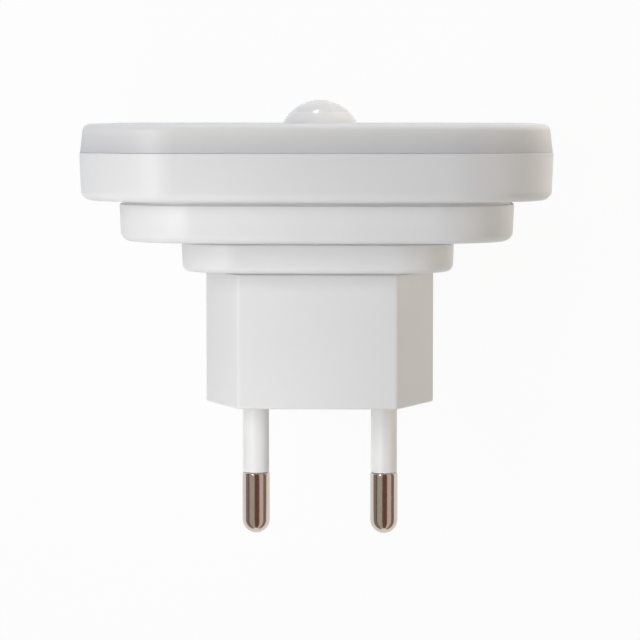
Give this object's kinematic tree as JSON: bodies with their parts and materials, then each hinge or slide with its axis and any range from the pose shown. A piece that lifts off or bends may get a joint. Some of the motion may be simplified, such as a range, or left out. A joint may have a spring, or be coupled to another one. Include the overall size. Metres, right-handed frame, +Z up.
{
  "type": "plug-in night light",
  "caption": "Square plug-in night light with a milky diffuser, a motion-sensor dome, a stepped housing and a round-pin mains plug.",
  "frame": {"origin": "centre of the plug body's wall face, midway between the pins", "axes": "+Y along the pins into the wall, so the diffuser faces -Y; +Z up; the pins' axes lie side by side along X"},
  "size_m": [0.065, 0.0629, 0.065],
  "materials": {
    "milky_diffuser": "satin, milky and translucent",
    "milky_lens": "glossy, milky and translucent",
    "white_housing": "satin moulding",
    "white_sleeve": "satin moulding",
    "white_holder": "satin moulding",
    "nickel_plate": "polished nickel plating over brass",
    "brown_insulation": "satin sheath",
    "blue_insulation": "satin sheath",
    "green_laminate": "satin lacquer",
    "white_laminate": "satin lacquer",
    "film_capacitor_case": "semi-gloss case",
    "can_capacitor_sleeve": "glossy sleeve",
    "resistor_coating": "matt coating",
    "chip_body": "matt moulding",
    "ceramic_chip": "matt",
    "lamp_phosphor": "glossy resin",
    "sensor_can": "plain drawn can",
    "sensor_filter": "dark and smooth",
    "light_cell": "satin coating",
    "gold_contact": "thin gold plating",
    "screw_steel": "bright zinc plating"
  },
  "bodies": {
    "root": {"diffuser_cover": "milky_diffuser", "fresnel_lens": "milky_lens", "lens_holder": "white_holder", "rear_housing": "white_housing", "plug_housing": "white_housing", "live_pin": "nickel_plate", "neutral_pin": "nickel_plate", "live_pin_sleeve": "white_sleeve", "neutral_pin_sleeve": "white_sleeve", "live_wire": "brown_insulation", "neutral_wire": "blue_insulation", "power_board": "green_laminate", "dropper_capacitor": "film_capacitor_case", "smoothing_capacitor": "can_capacitor_sleeve", "fusible_resistor": "resistor_coating", "rectifier_bridge": "chip_body", "zener_diode": "chip_body", "bleeder_resistors": "chip_body", "link_pins": "gold_contact", "led_board": "white_laminate", "leds": "lamp_phosphor", "motion_sensor": "sensor_can", "sensor_window": "sensor_filter", "light_sensor": "light_cell", "control_chip": "chip_body", "driver_transistor": "chip_body", "chip_resistors": "chip_body", "chip_capacitors": "ceramic_chip", "timing_capacitors": "can_capacitor_sleeve", "board_screws": "screw_steel", "plug_screws": "screw_steel"}
  },
  "joints": []
}
